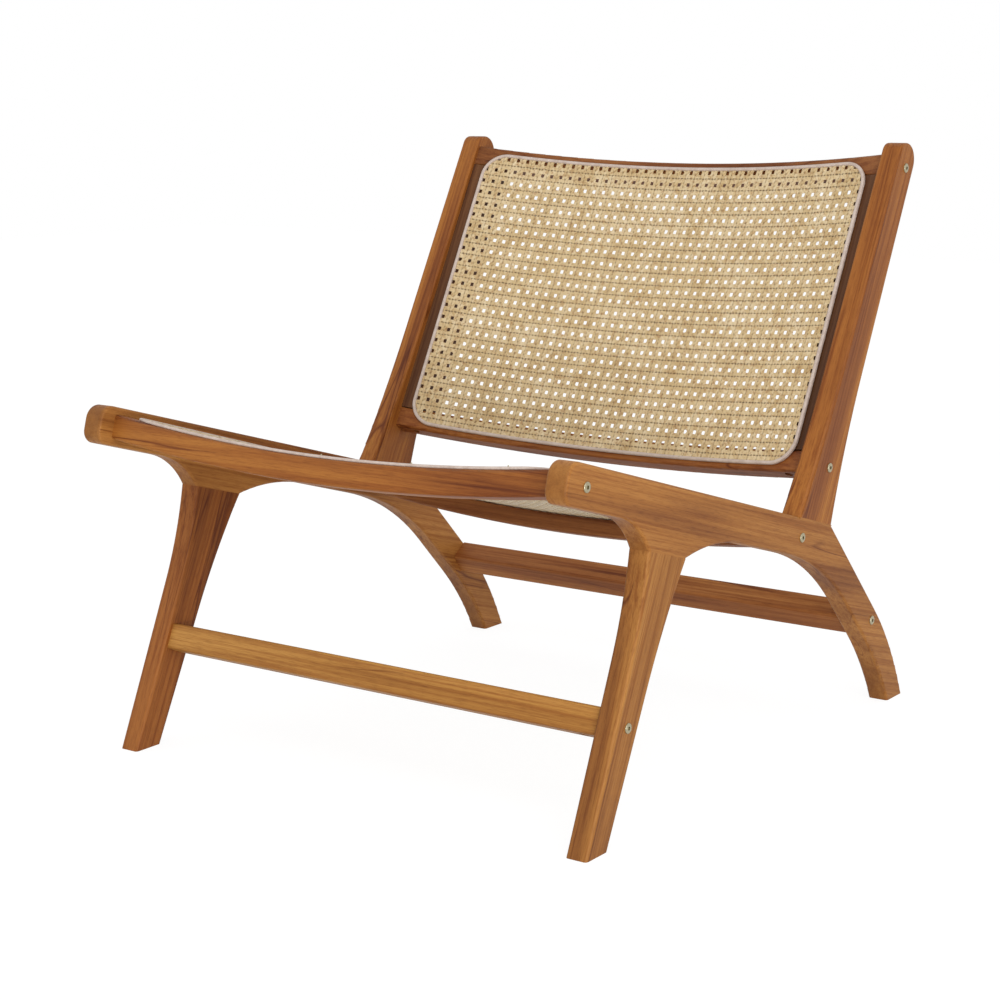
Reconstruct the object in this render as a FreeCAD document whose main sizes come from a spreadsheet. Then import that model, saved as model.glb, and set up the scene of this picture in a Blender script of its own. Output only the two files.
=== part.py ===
import FreeCAD, Part
import math
import os
import re
import Sketcher

Vector = FreeCAD.Vector

# Driving dimensions: millimetres, degrees for the values named slope, lean or tilt, and shares.
SIZES = {
    # side planks: lengths run along the top edge from the nose, setbacks from its rear end,
    # and depths are square to that edge
    "overall_width": 660.0,
    "plank_thickness": 26.0,
    "edge_radius": 3.5,
    "seat_slope": 15.8,
    "nose_height": 420.5,
    "nose_top_radius": 18.0,
    "nose_under_radius": 14.0,
    "side_rail_depth": 45.0,
    "side_rail_length": 590.5,
    "haunch_depth": 72.7,
    "haunch_start": 110.0,
    "haunch_end": 375.0,
    "leg_joint_start": 175.0,
    "leg_joint_width": 80.0,
    "arch_setback": 98.5,
    "arch_radius": 358.0,
    "arch_straight_share": 0.36,
    "rear_leg_slope": 44.8,
    "rear_straight_share": 0.4965,
    "rear_foot_slope": 49.93,
    "rear_foot_width": 44.0,
    # front legs
    "front_foot_setback": 42.0,
    "front_foot_width": 40.5,
    "leg_front_lean": 23.4,
    "leg_rear_lean": 26.1,
    "leg_front_flare_height": 189.0,
    "leg_rear_flare_height": 149.0,
    # back posts, set out from the bolt line of the two back rails
    "back_lean": 28.0,
    "back_bolt_setback": 29.5,
    "back_bolt_rise": 65.6,
    "back_rail_spacing": 390.8,
    "post_joint_width": 85.5,
    "post_flare_place": 124.0,
    "post_flare_front": 26.7,
    "post_flare_rear": 24.9,
    "post_head_rise": 30.2,
    "post_head_front": 23.2,
    "post_head_rear": 20.9,
    "post_front_radius": 14.0,
    "post_rear_radius": 21.0,
    # cross rails and stretchers
    "rail_section": 28.0,
    "rail_edge_radius": 3.5,
    "rear_rail_height": 22.0,
    "seat_rail_depth": 22.8,
    "seat_tilt": 0.68,
    "front_rail_place": 35.5,
    "rear_rail_setback": 73.0,
    "seat_bow": 20.0,
    "back_bow": 38.0,
    "back_rail_advance": 3.0,
    "top_rail_drop": 3.0,
    "stile_width": 31.5,
    "stile_depth": 31.0,
    "stretcher_section": 31.0,
    "front_stretcher_height": 123.0,
    "rear_stretcher_lean": 35.0,
    "rear_stretcher_shift": 5.0,
    # woven panels and their borders
    "panel_gap": 15.5,
    "panel_corner_radius": 34.0,
    "border_width": 6.0,
    "border_thickness": 5.0,
    "cane_thickness": 2.4,
    "cane_margin": 12.0,
    "cane_open_share": 0.48,
    "seat_panel_setback": 3.0,
    "back_panel_drop": 7.0,
    "back_panel_rise": 2.0,
    # hardware
    "bolt_diameter": 6.0,
    "bolt_reach": 32.0,
    "bolt_head_diameter": 11.5,
    "bolt_head_thickness": 3.2,
    "bolt_head_inset": 1.6,
    "bolt_head_radius": 1.2,
    "socket_width": 4.0,
    "socket_depth": 2.0,
    "nut_diameter": 10.0,
    "nut_length": 18.0,
    "nut_place": 24.0,
    "rail_dowel_diameter": 6.0,
    "rail_dowel_offset": 9.0,
    "rail_dowel_in_plank": 14.0,
    "rail_dowel_in_rail": 16.0,
    "joint_dowel_diameter": 10.0,
    "joint_dowel_length": 60.0,
    "joint_dowel_spacing": 34.0,
    "pin_diameter": 1.6,
    "pin_length": 16.0,
    "pin_margin": 48.5,
}
PINS_PER_RAIL = 5
CANE_COLUMNS = 12
CANE_ROWS = {"seat": 10, "back": 8}
HEXAGON_SIDES = 6

document = FreeCAD.newDocument("chair")
sheet = document.addObject("Spreadsheet::Sheet", "Sizes")
for row, (name, size_value) in enumerate(SIZES.items(), start=1):
    sheet.set(f"A{row}", name)
    sheet.set(f"B{row}", str(size_value))
    sheet.setAlias(f"B{row}", name)
document.recompute()

ALIAS = re.compile(r"\b(" + "|".join(sorted(SIZES, key=len, reverse=True)) + r")\b")
ORIGIN_PLANES = {"side": "YZ_Plane", "section": "XZ_Plane", "face": "XY_Plane"}


def bound(text):
    """The expression with every size name read from the sheet."""
    return ALIAS.sub(r"Sizes.\1", text)


def value(text):
    return float(sheet.evalExpression(bound(text)))


# Places along the chair, as expressions of the sizes.
NOSE_ADVANCE = (
    "(nose_under_radius * (1 - cos(seat_slope))"
    " + (side_rail_depth - nose_under_radius) * sin(seat_slope))"
)
ARCH_START = "(side_rail_length - arch_setback)"
REAR_RAIL_PLACE = "(side_rail_length - rear_rail_setback)"
BACK_BOLT_PLACE = "(side_rail_length - back_bolt_setback)"
RAIL_END_HEIGHT = "(nose_height - side_rail_length * sin(seat_slope))"
FOOT_REACH = f"(side_rail_length * cos(seat_slope) + {RAIL_END_HEIGHT} / tan(rear_foot_slope))"
TOP_RAIL_REACH = (
    f"({BACK_BOLT_PLACE} * cos(seat_slope) + back_bolt_rise * sin(seat_slope)"
    " + (back_rail_spacing - top_rail_drop) * sin(back_lean) + rail_edge_radius"
    " + (rail_section / 2 - rail_edge_radius) * (sin(back_lean) + cos(back_lean))"
    " + (back_bow - back_rail_advance) * cos(back_lean))"
)
OVERALL_DEPTH = f"({NOSE_ADVANCE} + max({FOOT_REACH}; {TOP_RAIL_REACH}))"
NOSE_Y = f"({NOSE_ADVANCE} - {OVERALL_DEPTH} / 2)"
REAR_FOOT_Y = f"({NOSE_Y} + {FOOT_REACH})"
INNER_HALF_WIDTH = "(overall_width / 2 - plank_thickness)"
BACK_TURN = "(back_lean - seat_slope)"
LEG_TURN = "(rear_leg_slope - seat_slope)"
POST_JOINT_START = "(side_rail_length - post_joint_width)"
SEAT_ANGLE = "(seat_slope + seat_tilt)"
SEAT_RUN = f"(({REAR_RAIL_PLACE} - front_rail_place) / cos(seat_tilt))"
BACK_RUN = "(back_rail_spacing - top_rail_drop)"
LEG_LEAN = "((leg_front_lean + leg_rear_lean) / 2)"


def from_rail_frame(along, up):
    """Chair y and z of a point given along and above a side rail's top edge."""
    y = f"({NOSE_Y} + ({along}) * cos(seat_slope) + ({up}) * sin(seat_slope))"
    z = f"(nose_height - ({along}) * sin(seat_slope) + ({up}) * cos(seat_slope))"
    return y, z


def into_rail_frame(y, z):
    """Place along and above a side rail's top edge of a chair point."""
    along = f"((({y}) - {NOSE_Y}) * cos(seat_slope) - (({z}) - nose_height) * sin(seat_slope))"
    up = f"((({y}) - {NOSE_Y}) * sin(seat_slope) + (({z}) - nose_height) * cos(seat_slope))"
    return along, up


def rail_to_back_frame(along, up):
    """Place along and in front of the back's bolt line of a side rail point."""
    step = f"(({along}) - {BACK_BOLT_PLACE})"
    rise = f"(({up}) - back_bolt_rise)"
    return (
        f"({step} * sin({BACK_TURN}) + {rise} * cos({BACK_TURN}))",
        f"({rise} * sin({BACK_TURN}) - {step} * cos({BACK_TURN}))",
    )


# Frames turned about the chair's x axis: place, axis of the turn and angle.
FRONT_TURN = Vector(-1, 0, 0)
REAR_TURN = Vector(1, 0, 0)
FRAMES = {
    "rail": (NOSE_Y, "nose_height", FRONT_TURN, "seat_slope"),
    "seat": (*from_rail_frame("front_rail_place", "0"), FRONT_TURN, SEAT_ANGLE),
    "back": (*from_rail_frame(BACK_BOLT_PLACE, "back_bolt_rise"), REAR_TURN, "90 - back_lean"),
}


def framed(frame, along, up="0"):
    """A frame moved along and above itself."""
    start_y, start_z, axis, angle = FRAMES[frame]
    if frame == "rail":
        return (*from_rail_frame(along, up), axis, angle)
    if frame == "seat":
        y = f"({start_y} + ({along}) * cos({SEAT_ANGLE}) + ({up}) * sin({SEAT_ANGLE}))"
        z = f"({start_z} - ({along}) * sin({SEAT_ANGLE}) + ({up}) * cos({SEAT_ANGLE}))"
        return y, z, axis, angle
    y = f"({start_y} + ({along}) * sin(back_lean) - ({up}) * cos(back_lean))"
    z = f"({start_z} + ({along}) * cos(back_lean) + ({up}) * sin(back_lean))"
    return y, z, axis, angle


def place(item, frame, x="0"):
    """Set an object in a frame that is turned about the chair's x axis."""
    y, z, axis, angle = frame
    item.Placement = FreeCAD.Placement(
        Vector(value(x), value(y), value(z)), FreeCAD.Rotation(axis, value(angle))
    )
    for path, text in (("x", x), ("y", y), ("z", z)):
        item.setExpression(f"Placement.Base.{path}", bound(text))
    item.setExpression("Placement.Rotation.Angle", f"({bound(angle)}) * 1 deg")


def arc_between(start, end, tangent, at_start):
    """Arc from start to end that leaves, or reaches, along the tangent."""
    origin, other = (start, end) if at_start else (end, start)
    chord = other - origin
    normal = Vector(-tangent.y, tangent.x, 0)
    radius = chord.dot(chord) / (2 * chord.dot(normal))
    centre = origin + normal * radius
    middle = (start + end) * 0.5 - centre
    middle.normalize()
    return Part.Arc(start, centre + middle * abs(radius), end)


def arc_of_radius(start, end, radius, side):
    """Arc that bulges to the left (1) or right (-1) of the way from start to end."""
    chord = end - start
    normal = Vector(-chord.y, chord.x, 0)
    normal.normalize()
    sagitta = radius - math.sqrt(radius**2 - chord.dot(chord) / 4)
    return Part.Arc(start, (start + end) * 0.5 + normal * (sagitta * side), end)


def outline(body, name, plane, corners):
    """Closed sketch. A corner is its two places and the edge to the next corner:
    straight, smooth_from or smooth_into a neighbour, or (radius, side)."""
    sketch = body.newObject("Sketcher::SketchObject", name)
    role = ORIGIN_PLANES[plane]
    support = [item for item in body.Origin.OriginFeatures if item.Role == role][0]
    sketch.AttachmentSupport = [(support, "")]
    sketch.MapMode = "FlatFace"
    points = [Vector(value(across), value(up), 0) for across, up, edge in corners]
    count = len(corners)
    ends = []
    for index, (across, up, edge) in enumerate(corners):
        start = points[index]
        end = points[(index + 1) % count]
        if edge == "straight":
            curve = Part.LineSegment(start, end)
        elif edge == "smooth_from":
            tangent = start - points[index - 1]
            curve = arc_between(start, end, tangent.normalize(), True)
        elif edge == "smooth_into":
            tangent = points[(index + 2) % count] - end
            curve = arc_between(start, end, tangent.normalize(), False)
        else:
            curve = arc_of_radius(start, end, value(edge[0]), edge[1])
        geometry = sketch.addGeometry(curve, False)
        forward = sketch.getPoint(geometry, 1).distanceToPoint(start) < start.distanceToPoint(end) / 2
        ends.append((1, 2) if forward else (2, 1))
    for index, (across, up, edge) in enumerate(corners):
        following = (index + 1) % count
        leaving = corners[following][2] == "smooth_from"
        joint = "Tangent" if leaving or edge == "smooth_into" else "Coincident"
        sketch.addConstraint(
            Sketcher.Constraint(joint, index, ends[index][1], following, ends[following][0])
        )
        for kind, text in (("DistanceX", across), ("DistanceY", up)):
            number = sketch.addConstraint(
                Sketcher.Constraint(kind, -1, 1, index, ends[index][0], value(text))
            )
            sketch.setExpression(f"Constraints[{number}]", bound(text))
        if isinstance(edge, tuple):
            number = sketch.addConstraint(Sketcher.Constraint("Radius", index, value(edge[0])))
            sketch.setExpression(f"Constraints[{number}]", bound(edge[0]))
    return sketch


def pad(body, sketch, length, midplane=False):
    feature = body.newObject("PartDesign::Pad", f"{sketch.Name}_pad")
    feature.Profile = sketch
    feature.Midplane = midplane
    feature.setExpression("Length", bound(length))
    sketch.Visibility = False
    document.recompute()
    return feature


def soften(body, feature, radius, wanted):
    """Round the edges of a feature that a test picks."""
    names = [
        f"Edge{number}"
        for number, edge in enumerate(feature.Shape.Edges, start=1)
        if wanted(edge)
    ]
    rounding = body.newObject("PartDesign::Fillet", f"{feature.Name}_rounding")
    rounding.Base = (feature, names)
    rounding.setExpression("Radius", bound(radius))
    document.recompute()
    return rounding


def new_body(label):
    body = document.addObject("PartDesign::Body", label + "_blank")
    body.Label = label + "_blank"
    return body


NEAR = 1e-4


def lies_flat(edge, axis):
    """True for an edge that keeps one coordinate."""
    start, end = edge.ParameterRange
    points = [edge.valueAt(start + (end - start) * share) for share in (0, 0.5, 1)]
    places = [getattr(point, axis) for point in points]
    return max(places) - min(places) < NEAR


def at_height(edge, up):
    """True for an edge that lies level at a height in its own frame."""
    return lies_flat(edge, "z") and abs(edge.Vertexes[0].Z - up) < NEAR


def plank(label, x, frame, corners, is_joint, rounded_corners=()):
    """Piece cut from a plank: an outline, the plank's thickness and softened edges."""
    body = new_body(label)
    sketch = outline(body, label + "_outline", "side", corners)
    feature = pad(body, sketch, "plank_thickness")
    for radius, wanted in rounded_corners:
        feature = soften(body, feature, radius, wanted)
    soften(body, feature, "edge_radius", lambda edge: lies_flat(edge, "x") and not is_joint(edge))
    place(body, FRAMES[frame], x)
    document.recompute()
    return body


# Outline of a side rail with its haunch and rear leg, in the rail frame.
ARCH_END = (
    f"({ARCH_START} + arch_radius * sin({LEG_TURN}))",
    f"(0 - side_rail_depth - arch_radius * (1 - cos({LEG_TURN})))",
)
ARCH_STRAIGHT = f"(arch_straight_share * {from_rail_frame(*ARCH_END)[1]} / sin(rear_leg_slope))"
ARCH_FOOT = (
    f"({ARCH_END[0]} + {ARCH_STRAIGHT} * cos({LEG_TURN}))",
    f"({ARCH_END[1]} - {ARCH_STRAIGHT} * sin({LEG_TURN}))",
)
REAR_STRAIGHT = f"(rear_straight_share * {RAIL_END_HEIGHT} / sin(rear_leg_slope))"
REAR_BEND = (
    f"(side_rail_length + {REAR_STRAIGHT} * cos({LEG_TURN}))",
    f"(0 - {REAR_STRAIGHT} * sin({LEG_TURN}))",
)
FOOT_REAR = into_rail_frame(REAR_FOOT_Y, "0")
FOOT_FRONT = into_rail_frame(f"{REAR_FOOT_Y} - rear_foot_width", "0")
SIDE_RAIL = [
    ("nose_top_radius", "0", ("nose_top_radius", -1)),
    ("0", "0 - nose_top_radius", "straight"),
    ("0", "nose_under_radius - side_rail_depth", ("nose_under_radius", -1)),
    ("nose_under_radius", "0 - side_rail_depth", "straight"),
    ("haunch_start", "0 - side_rail_depth", "smooth_from"),
    ("leg_joint_start", "0 - haunch_depth", "straight"),
    ("leg_joint_start + leg_joint_width", "0 - haunch_depth", "smooth_into"),
    ("haunch_end", "0 - side_rail_depth", "straight"),
    (ARCH_START, "0 - side_rail_depth", ("arch_radius", 1)),
    (*ARCH_END, "straight"),
    (*ARCH_FOOT, "smooth_from"),
    (*FOOT_FRONT, "straight"),
    (*FOOT_REAR, "smooth_into"),
    (*REAR_BEND, "straight"),
    ("side_rail_length", "0", "straight"),
]

# Outline of a front leg, in the rail frame.
FRONT_FOOT_Y = f"(front_foot_setback - {OVERALL_DEPTH} / 2)"
FRONT_LEG = [
    (*into_rail_frame(FRONT_FOOT_Y, "0"), "straight"),
    (
        *into_rail_frame(
            f"{FRONT_FOOT_Y} + leg_front_flare_height * tan(leg_front_lean)",
            "leg_front_flare_height",
        ),
        "smooth_from",
    ),
    ("leg_joint_start", "0 - haunch_depth", "straight"),
    ("leg_joint_start + leg_joint_width", "0 - haunch_depth", "smooth_into"),
    (
        *into_rail_frame(
            f"{FRONT_FOOT_Y} + front_foot_width + leg_rear_flare_height * tan(leg_rear_lean)",
            "leg_rear_flare_height",
        ),
        "straight",
    ),
    (*into_rail_frame(f"{FRONT_FOOT_Y} + front_foot_width", "0"), "straight"),
]


def post_head(front):
    """Place of a top corner of the post, on a level head above the upper bolt."""
    along = f"(back_rail_spacing + (post_head_rise - ({front}) * sin(back_lean)) / cos(back_lean))"
    return along, front


# Outline of a back post, in the back frame.
BACK_POST = [
    (*rail_to_back_frame(POST_JOINT_START, "0"), "smooth_into"),
    ("post_flare_place", "post_flare_front", "straight"),
    (*post_head("post_head_front"), "straight"),
    (*post_head("0 - post_head_rear"), "straight"),
    ("post_flare_place", "0 - post_flare_rear", "smooth_from"),
    (*rail_to_back_frame("side_rail_length", "0"), "straight"),
]


def runs_between(edge, first, last):
    """True for an edge along the outline from one corner to another."""
    ends = [Vector(0, vertex.Y, vertex.Z) for vertex in edge.Vertexes]
    return all(min(end.distanceToPoint(point) for end in ends) < NEAR for point in (first, last))


def stands_on(edge, point):
    """True for an edge across the plank at a corner of the outline."""
    ends = [Vector(0, vertex.Y, vertex.Z) for vertex in edge.Vertexes]
    return all(end.distanceToPoint(point) < NEAR for end in ends)


def corner(corners, index):
    return Vector(0, value(corners[index][0]), value(corners[index][1]))


def side_rail(label, x):
    joint_depth = -value("haunch_depth")
    foot = (corner(SIDE_RAIL, 11), corner(SIDE_RAIL, 12))
    body = plank(
        label,
        x,
        "rail",
        SIDE_RAIL,
        lambda edge: at_height(edge, joint_depth) or runs_between(edge, *foot),
    )
    seat = outline(
        body,
        label + "_post_seat",
        "side",
        [
            (POST_JOINT_START, "0 - edge_radius", "straight"),
            ("side_rail_length - edge_radius", "0 - edge_radius", "straight"),
            ("side_rail_length", "0", "straight"),
            (POST_JOINT_START, "0", "straight"),
        ],
    )
    pad(body, seat, "plank_thickness")
    return body


def front_leg(label, x):
    joint_depth = -value("haunch_depth")
    foot = (corner(FRONT_LEG, 5), corner(FRONT_LEG, 0))
    return plank(
        label,
        x,
        "rail",
        FRONT_LEG,
        lambda edge: at_height(edge, joint_depth) or runs_between(edge, *foot),
    )


def back_post(label, x):
    joint = (corner(BACK_POST, 5), corner(BACK_POST, 0))
    head_front = corner(BACK_POST, 2)
    head_rear = corner(BACK_POST, 3)
    return plank(
        label,
        x,
        "back",
        BACK_POST,
        lambda edge: runs_between(edge, *joint),
        [
            ("post_front_radius", lambda edge: stands_on(edge, head_front)),
            ("post_rear_radius", lambda edge: stands_on(edge, head_rear)),
        ],
    )


# Curved cross rails and panels share one round surface for the seat and one for the back.
SURFACES = {
    "seat": ("seat_bow", "(rail_section / 2 - seat_rail_depth)"),
    "back": ("back_bow", "(rail_section / 2 + back_rail_advance)"),
}


def bow_radius(frame):
    bow = SURFACES[frame][0]
    return f"(({INNER_HALF_WIDTH}^2 + {bow}^2) / (2 * {bow}))"


def bow_height(frame, across, lift):
    """Height of the round surface, lifted towards its centre, at a distance across."""
    bow, end_height = SURFACES[frame]
    radius = bow_radius(frame)
    return f"({end_height} + {radius} - {bow} - sqrt(({radius} - ({lift}))^2 - ({across})^2))"


def bowed_rail(label, frame, along, height="rail_section"):
    """Cross rail with a round face between the side planks."""
    body = new_body(label)
    half = INNER_HALF_WIDTH
    top = SURFACES[frame][1]
    radius = bow_radius(frame)
    sketch = outline(
        body,
        label + "_outline",
        "section",
        [
            (f"0 - {half}", f"{top} - {height}", (radius, -1)),
            (half, f"{top} - {height}", "straight"),
            (half, top, (radius, 1)),
            (f"0 - {half}", top, "straight"),
        ],
    )
    feature = pad(body, sketch, "rail_section", midplane=True)
    soften(
        body,
        feature,
        "rail_edge_radius",
        lambda edge: lies_flat(edge, "y") and not lies_flat(edge, "x"),
    )
    place(body, framed(frame, along))
    document.recompute()
    return body


def back_stile(label, first, last, inner):
    """Upright behind a side edge of the back panel, between the two back rails."""
    body = new_body(label)
    edge = value(inner)
    heights = [bow_height("back", across, "0") for across in (first, last)]
    sketch = outline(
        body,
        label + "_outline",
        "section",
        [
            (first, f"{heights[0]} - stile_depth", "straight"),
            (last, f"{heights[1]} - stile_depth", "straight"),
            (last, heights[1], (bow_radius("back"), 1)),
            (first, heights[0], "straight"),
        ],
    )
    feature = pad(body, sketch, f"{BACK_RUN} - rail_section", midplane=True)

    def along_inner_edge(line):
        upright = lies_flat(line, "x") and not lies_flat(line, "y")
        return upright and abs(line.Vertexes[0].X - edge) < NEAR

    soften(body, feature, "rail_edge_radius", along_inner_edge)
    place(body, framed("back", f"{BACK_RUN} / 2"))
    document.recompute()
    return body


def stretcher(label, frame):
    """Straight square bar between the side planks, with softened long edges."""
    body = new_body(label)
    half = "stretcher_section / 2"
    sketch = outline(
        body,
        label + "_outline",
        "side",
        [
            (f"0 - {half}", f"0 - {half}", "straight"),
            (half, f"0 - {half}", "straight"),
            (half, half, "straight"),
            (f"0 - {half}", half, "straight"),
        ],
    )
    feature = pad(body, sketch, f"2 * {INNER_HALF_WIDTH}", midplane=True)
    soften(body, feature, "rail_edge_radius", lambda edge: not lies_flat(edge, "x"))
    place(body, frame)
    document.recompute()
    return body


PANELS = {
    "seat": (
        "(seat_panel_setback - rail_section / 2)",
        f"({SEAT_RUN} + rail_section / 2 - seat_panel_setback)",
    ),
    "back": ("(0 - back_panel_drop)", "(back_rail_spacing + back_panel_rise)"),
}
PANEL_HALF_WIDTH = f"({INNER_HALF_WIDTH} - panel_gap)"


def panel_place(frame):
    """Frame at the middle of a panel's length."""
    first, last = PANELS[frame]
    return framed(frame, f"({first} + {last}) / 2")


def bowed_sheet(label, frame, lift, thickness):
    """Square-cornered sheet that follows the round surface."""
    body = new_body(label)
    half = PANEL_HALF_WIDTH
    radius = bow_radius(frame)
    upper = f"({lift}) + ({thickness})"
    first, last = PANELS[frame]
    sketch = outline(
        body,
        label + "_outline",
        "section",
        [
            (f"0 - {half}", bow_height(frame, half, lift), (f"{radius} - ({lift})", -1)),
            (half, bow_height(frame, half, lift), "straight"),
            (half, bow_height(frame, half, upper), (f"{radius} - ({upper})", 1)),
            (f"0 - {half}", bow_height(frame, half, upper), "straight"),
        ],
    )
    pad(body, sketch, f"{last} - {first}", midplane=True)
    place(body, panel_place(frame))
    return body


def panel_block(label, frame, inset):
    """Block with a panel's outline and rounded corners, drawn in all round by an inset."""
    body = new_body(label)
    first, last = PANELS[frame]
    across = f"({PANEL_HALF_WIDTH} - ({inset}))"
    along = f"(({last} - {first}) / 2 - ({inset}))"
    radius = f"(panel_corner_radius - ({inset}))"
    sketch = outline(
        body,
        label + "_outline",
        "face",
        [
            (f"{radius} - {across}", f"0 - {along}", "straight"),
            (f"{across} - {radius}", f"0 - {along}", (radius, -1)),
            (across, f"{radius} - {along}", "straight"),
            (across, f"{along} - {radius}", (radius, -1)),
            (f"{across} - {radius}", along, "straight"),
            (f"{radius} - {across}", along, (radius, -1)),
            (f"0 - {across}", f"{along} - {radius}", "straight"),
            (f"0 - {across}", f"{radius} - {along}", (radius, -1)),
        ],
    )
    pad(body, sketch, f"2 * ({SURFACES[frame][0]} + rail_section)", midplane=True)
    place(body, panel_place(frame))
    return body


def combined(kind, label, base, tool):
    """Node made by cutting a blank with a tool object, or by keeping what they share."""
    item = document.addObject(kind, label)
    item.Label = label
    item.Base = base
    item.Tool = tool
    return item


def group(label, pieces):
    """Pieces of one kind kept as separate solids of one node."""
    item = document.addObject("Part::Compound", label)
    item.Label = label
    item.Links = pieces
    return item


def slots(label, frame, count, across):
    """Blocks through a panel, side by side across or along it, that open a share of it."""
    first, last = PANELS[frame]
    depth = f"({SURFACES[frame][0]} + rail_section)"
    wide = f"(2 * ({PANEL_HALF_WIDTH} - cane_margin))"
    long = f"({last} - {first} - 2 * cane_margin)"
    pitch = f"({wide if across else long} / {count})"
    pieces = []
    for number in range(count):
        step = f"{pitch} * ({number} + (1 - cane_open_share) / 2)"
        block = document.addObject("Part::Box", f"{label}_{number}")
        block.setExpression("Length", bound(f"{pitch} * cane_open_share" if across else wide))
        block.setExpression("Width", bound(long if across else f"{pitch} * cane_open_share"))
        block.setExpression("Height", bound(f"2 * {depth}"))
        along = f"{first} + cane_margin" + ("" if across else f" + {step}")
        side = f"0 - {wide} / 2" + (f" + {step}" if across else "")
        place(block, framed(frame, along, f"0 - {depth}"), side)
        pieces.append(block)
    return group(label, pieces)


# Middle of the front stretcher on the leg's middle line, and of the rear one in the rear leg.
FRONT_STRETCHER = (
    f"({FRONT_FOOT_Y} + front_foot_width / 2 + front_stretcher_height * tan({LEG_LEAN}))",
    "front_stretcher_height",
)
REAR_STRETCHER = from_rail_frame(
    f"({ARCH_FOOT[0]} + {REAR_BEND[0]}) / 2 + rear_stretcher_shift * sin({LEG_TURN})",
    f"({ARCH_FOOT[1]} + {REAR_BEND[1]}) / 2 + rear_stretcher_shift * cos({LEG_TURN})",
)

# Cross joints: place of the bolt, and the turn that points the mouth of the nut's bore.
JOINTS = {
    "front_seat_rail": (
        *from_rail_frame("front_rail_place", "0 - seat_rail_depth"),
        FRONT_TURN,
        "90 + seat_slope",
    ),
    "rear_seat_rail": (
        *from_rail_frame(REAR_RAIL_PLACE, "0 - seat_rail_depth"),
        FRONT_TURN,
        "90 + seat_slope",
    ),
    "lower_back_rail": (*FRAMES["back"][:2], REAR_TURN, "180 - back_lean"),
    "top_back_rail": (*framed("back", "back_rail_spacing")[:2], REAR_TURN, "180 - back_lean"),
    "front_stretcher": (*FRONT_STRETCHER, REAR_TURN, f"180 - {LEG_LEAN}"),
    "rear_stretcher": (*REAR_STRETCHER, FRONT_TURN, "180 - rear_stretcher_lean"),
}

# Hardware of one joint on the left side, with the bolt's middle line on the x axis.
OUTER_X = "(0 - overall_width / 2)"
INNER_X = f"(0 - {INNER_HALF_WIDTH})"
NUT_X = f"({INNER_X} + nut_place)"
ALONG_X = (Vector(0, 1, 0), "90")
UPRIGHT = (Vector(0, 1, 0), "0")


def bar(label, diameter, length, frame, x):
    """Round bar that starts at a place and runs along the turned z axis."""
    item = document.addObject("Part::Cylinder", label)
    item.Label = label
    item.setExpression("Radius", bound(f"{diameter} / 2"))
    item.setExpression("Height", bound(length))
    place(item, frame, x)
    return item


def connector_bolt():
    """Bolt with a domed head, a hexagon socket and a plain shank."""
    body = new_body("bolt")
    head_face = f"({OUTER_X} + bolt_head_inset - bolt_head_thickness)"
    under_head = f"({OUTER_X} + bolt_head_inset)"
    tip = f"({INNER_X} + bolt_reach)"
    profile = outline(
        body,
        "bolt_profile",
        "face",
        [
            (head_face, "0", "straight"),
            (head_face, "bolt_head_diameter / 2 - bolt_head_radius", ("bolt_head_radius", 1)),
            (f"{head_face} + bolt_head_radius", "bolt_head_diameter / 2", "straight"),
            (under_head, "bolt_head_diameter / 2", "straight"),
            (under_head, "bolt_diameter / 2", "straight"),
            (tip, "bolt_diameter / 2", "straight"),
            (tip, "0", "straight"),
        ],
    )
    turning = body.newObject("PartDesign::Revolution", "bolt_turning")
    turning.Profile = profile
    turning.ReferenceAxis = (profile, ["H_Axis"])
    turning.Angle = 360
    socket = document.addObject("Part::Prism", "bolt_socket")
    socket.Polygon = HEXAGON_SIDES
    socket.setExpression("Circumradius", bound("socket_width / sqrt(3)"))
    socket.setExpression("Height", bound("socket_depth"))
    place(socket, ("0", "0", *ALONG_X), head_face)
    return combined("Part::Cut", "bolt", body, socket)


def at_joints(label, piece):
    """Copies of a left-hand piece at every cross joint, and their mirrors on the right."""
    mirrored = document.addObject("Part::Mirroring", label + "_mirrored")
    mirrored.Source = piece
    mirrored.Normal = Vector(1, 0, 0)
    copies = []
    for joint, frame in JOINTS.items():
        for side, source in (("left", piece), ("right", mirrored)):
            copy = document.addObject("App::Link", f"{label}_{joint}_{side}")
            copy.LinkedObject = source
            copy.LinkTransform = True
            place(copy, frame)
            copies.append(copy)
    return copies


NUT_START = ("0", "(0 - nut_length / 2)", *UPRIGHT)
bolt_bore = bar(
    "bolt_bore", "bolt_diameter", "plank_thickness + bolt_reach", ("0", "0", *ALONG_X), OUTER_X
)
head_bore = bar(
    "head_bore", "bolt_head_diameter", "bolt_head_inset", ("0", "0", *ALONG_X), OUTER_X
)
nut_bore = bar("nut_bore", "nut_diameter", "nut_length / 2 + rail_section", NUT_START, NUT_X)
nut_blank = bar("nut_blank", "nut_diameter", "nut_length", NUT_START, NUT_X)
joint_bore = document.addObject("Part::MultiFuse", "joint_bore")
joint_bore.Shapes = [bolt_bore, head_bore, nut_bore]
rail_dowel = bar(
    "rail_dowel",
    "rail_dowel_diameter",
    "rail_dowel_in_plank + rail_dowel_in_rail",
    ("rail_dowel_offset", "0", *ALONG_X),
    f"({INNER_X} - rail_dowel_in_plank)",
)
bolts = at_joints("bolt", connector_bolt())
nuts = at_joints("nut", combined("Part::Cut", "nut", nut_blank, bolt_bore))
rail_dowels = at_joints("dowel", rail_dowel)
bores = at_joints("bore", joint_bore)


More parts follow.
